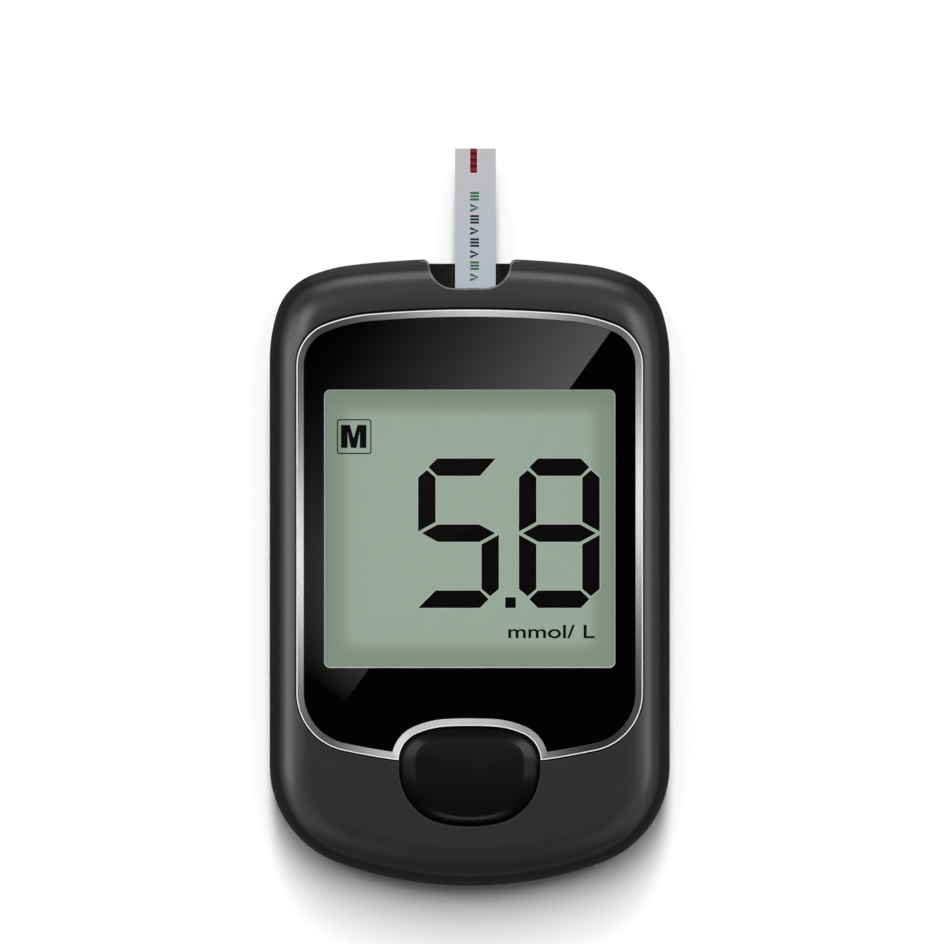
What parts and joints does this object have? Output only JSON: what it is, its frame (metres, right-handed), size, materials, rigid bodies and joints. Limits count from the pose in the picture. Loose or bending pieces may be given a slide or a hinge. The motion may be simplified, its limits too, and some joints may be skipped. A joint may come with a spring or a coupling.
{
  "type": "blood glucose meter",
  "caption": "Handheld blood glucose meter with a framed display panel, one push button, a strip port with a test strip and a battery door at the back.",
  "frame": {"origin": "centre of the flat back face", "axes": "+Z out of the display, +Y towards the strip port, +X to the reader's right"},
  "size_m": [0.056, 0.1032, 0.0176],
  "materials": {
    "housing_plastic": "satin black moulded plastic",
    "screw_steel": "zinc plated steel",
    "bezel_silver": "brushed silver trim",
    "lens_black": "clear acrylic, printed gloss black behind except at the window",
    "inner_black": "matt black",
    "display_glass": "polarised display glass",
    "display_film": "grey green reflector",
    "white_plastic": "white moulded plastic",
    "elastomer": "layered conductive elastomer",
    "circuit_board": "green solder mask",
    "button_plastic": "semi gloss black",
    "guide_black": "gloss black",
    "contact_gold": "gold plated spring bronze",
    "strip_plastic": "pale blue grey polyester",
    "strip_film": "pale blue grey film",
    "chamber_red": "clear chamber filled with blood",
    "cell_steel": "nickel plated steel"
  },
  "bodies": {
    "meter_body": {"front_cover": "housing_plastic", "rear_cover": "housing_plastic", "housing_screw_1": "screw_steel", "housing_screw_2": "screw_steel", "housing_screw_3": "screw_steel", "housing_screw_4": "screw_steel", "bezel_ring": "bezel_silver", "display_lens": "lens_black", "lens_adhesive": "inner_black", "lcd_front_glass": "display_glass", "lcd_rear_glass": "display_glass", "lcd_reflector_film": "display_film", "lcd_holder": "white_plastic", "lcd_contact_elastomer": "elastomer", "main_board": "circuit_board", "microcontroller_chip": "inner_black", "memory_chip": "inner_black", "analogue_front_end_chip": "inner_black", "quartz_crystal": "screw_steel", "tact_switch_body": "inner_black", "strip_port_guide": "guide_black", "strip_connector_body": "inner_black", "strip_contact_1": "contact_gold", "strip_contact_2": "contact_gold", "strip_contact_3": "contact_gold", "strip_contact_4": "contact_gold", "strip_contact_5": "contact_gold", "coin_cell": "cell_steel", "battery_holder": "inner_black", "battery_negative_contact": "cell_steel", "battery_positive_contact": "cell_steel"},
    "button": {"main_button": "button_plastic", "switch_plunger": "white_plastic"},
    "test_strip": {"strip_base": "strip_plastic", "strip_film": "strip_film", "sample_chamber": "chamber_red"},
    "door": {"battery_door": "housing_plastic"}
  },
  "joints": [
    {"name": "button_press", "type": "slide", "parent": "meter_body", "child": "button", "axis": [0, 0, -1], "range_m": [0, 0.0005], "stiffness_N_per_m": 3000},
    {"name": "test_strip_slide", "type": "slide", "parent": "meter_body", "child": "test_strip", "axis": [0, 1, 0], "range_m": [0, 0.013]},
    {"name": "battery_door_hinge", "type": "hinge", "parent": "meter_body", "child": "door", "pos_m": [0, -0.0355, 0.0009], "axis": [-1, 0, 0], "range_deg": [0, 90]}
  ]
}
